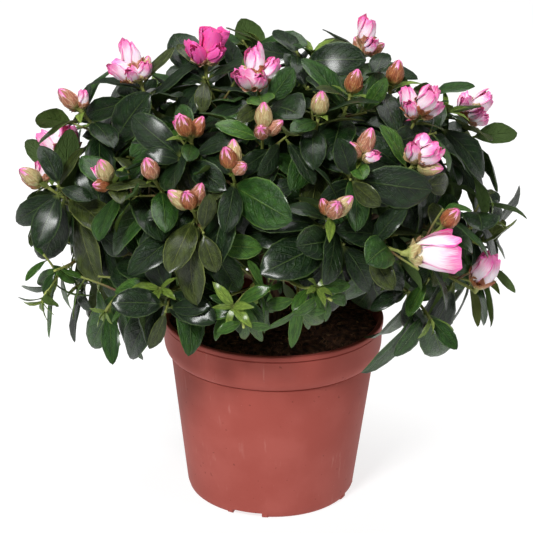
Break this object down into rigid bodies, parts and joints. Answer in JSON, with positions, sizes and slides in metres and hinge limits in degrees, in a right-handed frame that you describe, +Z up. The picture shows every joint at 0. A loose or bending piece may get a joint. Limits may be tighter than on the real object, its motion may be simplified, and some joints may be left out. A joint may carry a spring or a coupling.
{
  "type": "potted azalea shrub",
  "caption": "Low domed azalea in bud, with dark oval leaves and pink and white flowers, in a round terracotta-coloured plastic nursery pot.",
  "frame": {"origin": "middle of the pot's flat underside, where it stands on the ground", "axes": "+Z up the plant, -Y out of its front, +X to the right of someone who looks at the front"},
  "size_m": [0.2854, 0.2596, 0.2779],
  "materials": {
    "terracotta_plastic": "smooth moulded plastic with a soft sheen",
    "peat": "dark fibrous potting peat",
    "bark": "thin brown bark",
    "foliage": "half-glossy dark green leaves, light green twigs, pink and white flowers"
  },
  "bodies": {
    "root": {"pot": "terracotta_plastic", "soil": "peat", "trunk": "bark", "bough_1": "bark", "bough_2": "bark", "bough_3": "bark", "bough_4": "bark", "bough_5": "bark", "side_bough_1a": "bark", "side_bough_1b": "bark", "side_bough_2a": "bark", "side_bough_2b": "bark", "side_bough_3a": "bark", "side_bough_3b": "bark", "side_bough_4a": "bark", "side_bough_4b": "bark", "side_bough_5a": "bark", "side_bough_5b": "bark", "foliage_top": "foliage", "foliage_upper_1": "foliage", "foliage_upper_2": "foliage", "foliage_upper_3": "foliage", "foliage_upper_4": "foliage", "foliage_upper_5": "foliage", "foliage_lower_1a": "foliage", "foliage_lower_1b": "foliage", "foliage_lower_2a": "foliage", "foliage_lower_2b": "foliage", "foliage_lower_3a": "foliage", "foliage_lower_3b": "foliage", "foliage_lower_4a": "foliage", "foliage_lower_4b": "foliage", "foliage_lower_5a": "foliage", "foliage_lower_5b": "foliage"}
  },
  "joints": []
}
